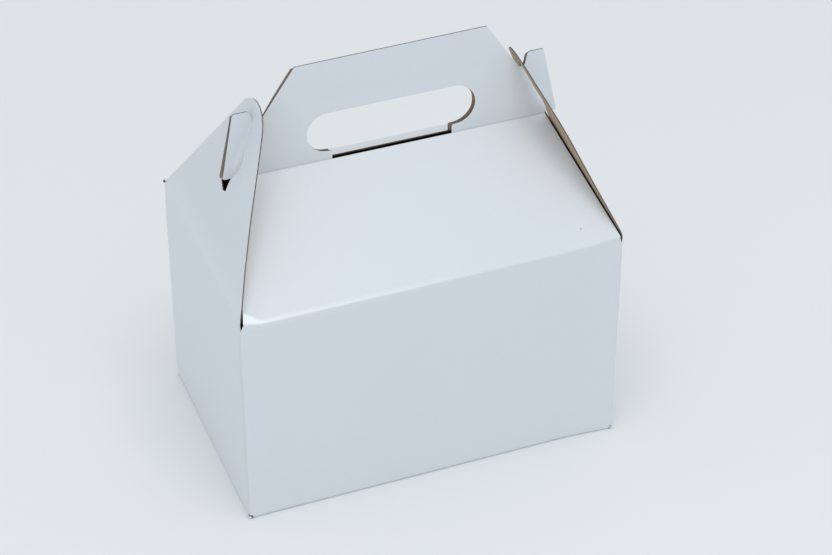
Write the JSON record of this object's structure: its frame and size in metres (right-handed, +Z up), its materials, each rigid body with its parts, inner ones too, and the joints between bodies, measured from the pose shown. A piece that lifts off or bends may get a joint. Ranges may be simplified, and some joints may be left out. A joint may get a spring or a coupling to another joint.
{
  "type": "gable box",
  "caption": "Folded white carry carton with a sloping roof, a flat panel handle with a hand hole, and pointed end flaps latched over hooked ears.",
  "frame": {"origin": "middle of the underside of the box, on the surface it stands on", "axes": "+X along the box towards the right gable flap, +Y from the front wall to the back wall, +Z up towards the handle"},
  "size_m": [0.205, 0.127, 0.2286],
  "materials": {
    "white_board": "clay-coated white outside, plain kraft inside"
  },
  "bodies": {
    "carton": {"carton_body": "white_board"},
    "left_flap": {"left_gable_flap": "white_board"},
    "right_flap": {"right_gable_flap": "white_board"}
  },
  "joints": [
    {"name": "left_flap_hinge", "type": "hinge", "parent": "carton", "child": "left_flap", "pos_m": [-0.1025, 0, 0.1295], "axis": [0, -1, 0], "range_deg": [0, 195]},
    {"name": "right_flap_hinge", "type": "hinge", "parent": "carton", "child": "right_flap", "pos_m": [0.1025, 0, 0.1295], "axis": [0, 1, 0], "range_deg": [0, 195]}
  ]
}
